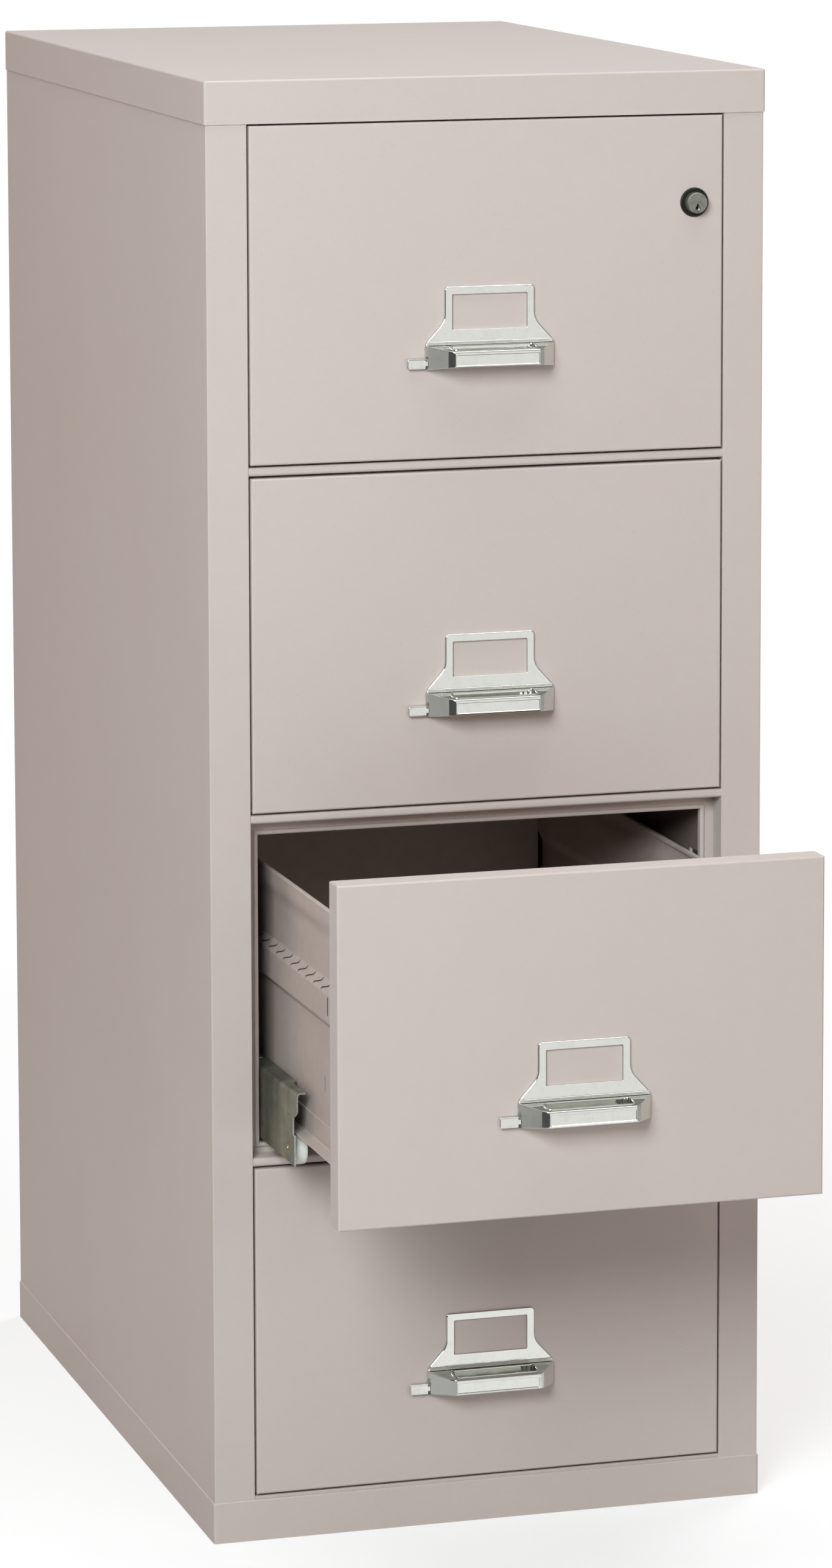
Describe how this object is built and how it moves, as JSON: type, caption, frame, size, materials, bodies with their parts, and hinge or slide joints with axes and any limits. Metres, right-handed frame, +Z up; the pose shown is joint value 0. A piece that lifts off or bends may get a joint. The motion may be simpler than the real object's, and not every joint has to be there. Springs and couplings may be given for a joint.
{
  "type": "fireproof filing cabinet",
  "caption": "Upright insulated steel filing cabinet with full-width drawers on telescopic roller slides, thumb latches, pull handles and a plunger lock.",
  "frame": {"origin": "centre of the closed cabinet's footprint, on the floor", "axes": "+Z up; the drawers open towards -Y; +X to the right for someone facing the front"},
  "size_m": [0.5286, 1.1061, 1.3398],
  "materials": {
    "cabinet_paint": "fine satin powder coat",
    "cover_paint": "fine satin powder coat",
    "front_paint": "fine satin powder coat",
    "tray_paint": "satin paint",
    "inner_paint": "satin paint",
    "head_jacket": "satin paint over a cast fill",
    "insulation": "matt cast mineral fill",
    "zinc_plate": "zinc plated",
    "roller_nylon": "moulded nylon",
    "plastic_guide": "moulded",
    "handle_chrome": "polished plate",
    "latch_chrome": "satin plate",
    "lock_black": "gloss black",
    "lock_steel": "satin plate"
  },
  "bodies": {
    "cabinet": {"top_cover": "cover_paint", "base_plinth": "cabinet_paint", "side_panel_left": "cabinet_paint", "side_panel_right": "cabinet_paint", "back_panel": "cabinet_paint", "sill_strip": "cabinet_paint", "header_strip": "cabinet_paint", "drawer_rail_1": "cabinet_paint", "drawer_rail_2": "cabinet_paint", "drawer_rail_3": "cabinet_paint", "insulation_walls": "insulation", "insulation_decks": "insulation", "cell_frame_1": "cabinet_paint", "cell_frame_2": "cabinet_paint", "cell_frame_3": "cabinet_paint", "cell_frame_4": "cabinet_paint", "cell_liner_1": "inner_paint", "cell_liner_2": "inner_paint", "cell_liner_3": "inner_paint", "cell_liner_4": "inner_paint", "slide_channels": "zinc_plate", "lock_bar_guides": "plastic_guide"},
    "drawer_1": {"drawer_front_1": "front_paint", "drawer_head_1": "head_jacket", "drawer_tray_1": "tray_paint", "handle_1": "handle_chrome", "lock_bezel": "lock_black"},
    "thumb_latch_1": {"thumb_latch_1": "latch_chrome"},
    "slide_arms_1": {"slide_arms_1": "zinc_plate"},
    "front_rollers_1": {"front_rollers_1": "roller_nylon"},
    "rear_rollers_1": {"rear_rollers_1": "roller_nylon"},
    "drawer_2": {"drawer_front_2": "front_paint", "drawer_head_2": "head_jacket", "drawer_tray_2": "tray_paint", "handle_2": "handle_chrome"},
    "thumb_latch_2": {"thumb_latch_2": "latch_chrome"},
    "slide_arms_2": {"slide_arms_2": "zinc_plate"},
    "front_rollers_2": {"front_rollers_2": "roller_nylon"},
    "rear_rollers_2": {"rear_rollers_2": "roller_nylon"},
    "drawer_3": {"drawer_front_3": "front_paint", "drawer_head_3": "head_jacket", "drawer_tray_3": "tray_paint", "handle_3": "handle_chrome"},
    "thumb_latch_3": {"thumb_latch_3": "latch_chrome"},
    "slide_arms_3": {"slide_arms_3": "zinc_plate"},
    "front_rollers_3": {"front_rollers_3": "roller_nylon"},
    "rear_rollers_3": {"rear_rollers_3": "roller_nylon"},
    "drawer_4": {"drawer_front_4": "front_paint", "drawer_head_4": "head_jacket", "drawer_tray_4": "tray_paint", "handle_4": "handle_chrome"},
    "thumb_latch_4": {"thumb_latch_4": "latch_chrome"},
    "slide_arms_4": {"slide_arms_4": "zinc_plate"},
    "front_rollers_4": {"front_rollers_4": "roller_nylon"},
    "rear_rollers_4": {"rear_rollers_4": "roller_nylon"},
    "lock_plunger": {"lock_plunger": "lock_steel"},
    "key_plug": {"key_plug": "lock_steel"},
    "lock_bar": {"lock_bar": "zinc_plate"}
  },
  "joints": [
    {"name": "drawer_1_slide", "type": "slide", "parent": "cabinet", "child": "drawer_1", "axis": [0, -1, 0], "range_m": [0, 0.61]},
    {"name": "slide_arms_1_slide", "type": "slide", "parent": "cabinet", "child": "slide_arms_1", "axis": [0, -1, 0], "range_m": [0, 0.305]},
    {"name": "front_rollers_1_turn", "type": "hinge", "parent": "slide_arms_1", "child": "front_rollers_1", "pos_m": [0, -0.32725, 1.01725], "axis": [1, 0, 0], "range_deg": [0, 1149.8]},
    {"name": "rear_rollers_1_turn", "type": "hinge", "parent": "slide_arms_1", "child": "rear_rollers_1", "pos_m": [0, -0.00085, 1.01725], "axis": [1, 0, 0], "range_deg": [0, 1149.8]},
    {"name": "thumb_latch_1_slide", "type": "slide", "parent": "drawer_1", "child": "thumb_latch_1", "axis": [1, 0, 0], "range_m": [0, 0.006], "stiffness_N_per_m": 250},
    {"name": "drawer_2_slide", "type": "slide", "parent": "cabinet", "child": "drawer_2", "axis": [0, -1, 0], "range_m": [0, 0.61]},
    {"name": "slide_arms_2_slide", "type": "slide", "parent": "cabinet", "child": "slide_arms_2", "axis": [0, -1, 0], "range_m": [0, 0.305]},
    {"name": "front_rollers_2_turn", "type": "hinge", "parent": "slide_arms_2", "child": "front_rollers_2", "pos_m": [0, -0.32725, 0.70037], "axis": [1, 0, 0], "range_deg": [0, 1149.8]},
    {"name": "rear_rollers_2_turn", "type": "hinge", "parent": "slide_arms_2", "child": "rear_rollers_2", "pos_m": [0, -0.00085, 0.70037], "axis": [1, 0, 0], "range_deg": [0, 1149.8]},
    {"name": "thumb_latch_2_slide", "type": "slide", "parent": "drawer_2", "child": "thumb_latch_2", "axis": [1, 0, 0], "range_m": [0, 0.006], "stiffness_N_per_m": 250},
    {"name": "drawer_3_slide", "type": "slide", "parent": "cabinet", "child": "drawer_3", "axis": [0, -1, 0], "range_m": [-0.2765, 0.3335]},
    {"name": "slide_arms_3_slide", "type": "slide", "parent": "cabinet", "child": "slide_arms_3", "axis": [0, -1, 0], "range_m": [-0.13825, 0.16675]},
    {"name": "front_rollers_3_turn", "type": "hinge", "parent": "slide_arms_3", "child": "front_rollers_3", "pos_m": [0, -0.46549, 0.38348], "axis": [1, 0, 0], "range_deg": [-521.3, 628.7]},
    {"name": "rear_rollers_3_turn", "type": "hinge", "parent": "slide_arms_3", "child": "rear_rollers_3", "pos_m": [0, -0.13909, 0.38348], "axis": [1, 0, 0], "range_deg": [-521.3, 628.7]},
    {"name": "thumb_latch_3_slide", "type": "slide", "parent": "drawer_3", "child": "thumb_latch_3", "axis": [1, 0, 0], "range_m": [0, 0.006], "stiffness_N_per_m": 250},
    {"name": "drawer_4_slide", "type": "slide", "parent": "cabinet", "child": "drawer_4", "axis": [0, -1, 0], "range_m": [0, 0.61]},
    {"name": "slide_arms_4_slide", "type": "slide", "parent": "cabinet", "child": "slide_arms_4", "axis": [0, -1, 0], "range_m": [0, 0.305]},
    {"name": "front_rollers_4_turn", "type": "hinge", "parent": "slide_arms_4", "child": "front_rollers_4", "pos_m": [0, -0.32725, 0.0666], "axis": [1, 0, 0], "range_deg": [0, 1149.8]},
    {"name": "rear_rollers_4_turn", "type": "hinge", "parent": "slide_arms_4", "child": "rear_rollers_4", "pos_m": [0, -0.00085, 0.0666], "axis": [1, 0, 0], "range_deg": [0, 1149.8]},
    {"name": "thumb_latch_4_slide", "type": "slide", "parent": "drawer_4", "child": "thumb_latch_4", "axis": [1, 0, 0], "range_m": [0, 0.006], "stiffness_N_per_m": 250},
    {"name": "lock_push", "type": "slide", "parent": "drawer_1", "child": "lock_plunger", "axis": [0, 1, 0], "range_m": [0, 0.009], "stiffness_N_per_m": 300},
    {"name": "key_turn", "type": "hinge", "parent": "lock_plunger", "child": "key_plug", "pos_m": [0.1958, -0.41085, 1.21635], "axis": [0, 1, 0], "range_deg": [0, 90]},
    {"name": "lock_bar_lift", "type": "slide", "parent": "cabinet", "child": "lock_bar", "axis": [0, 0, 1], "range_m": [0, 0.009]}
  ],
  "couplings": [
    {"joint": "slide_arms_1_slide", "follows": "drawer_1_slide", "ratio": 0.5},
    {"joint": "front_rollers_1_turn", "follows": "drawer_1_slide", "rad_per_m": 32.895},
    {"joint": "rear_rollers_1_turn", "follows": "drawer_1_slide", "rad_per_m": 32.895},
    {"joint": "slide_arms_2_slide", "follows": "drawer_2_slide", "ratio": 0.5},
    {"joint": "front_rollers_2_turn", "follows": "drawer_2_slide", "rad_per_m": 32.895},
    {"joint": "rear_rollers_2_turn", "follows": "drawer_2_slide", "rad_per_m": 32.895},
    {"joint": "slide_arms_3_slide", "follows": "drawer_3_slide", "ratio": 0.5},
    {"joint": "front_rollers_3_turn", "follows": "drawer_3_slide", "rad_per_m": 32.895},
    {"joint": "rear_rollers_3_turn", "follows": "drawer_3_slide", "rad_per_m": 32.895},
    {"joint": "slide_arms_4_slide", "follows": "drawer_4_slide", "ratio": 0.5},
    {"joint": "front_rollers_4_turn", "follows": "drawer_4_slide", "rad_per_m": 32.895},
    {"joint": "rear_rollers_4_turn", "follows": "drawer_4_slide", "rad_per_m": 32.895},
    {"joint": "lock_bar_lift", "follows": "lock_push", "ratio": 1}
  ]
}
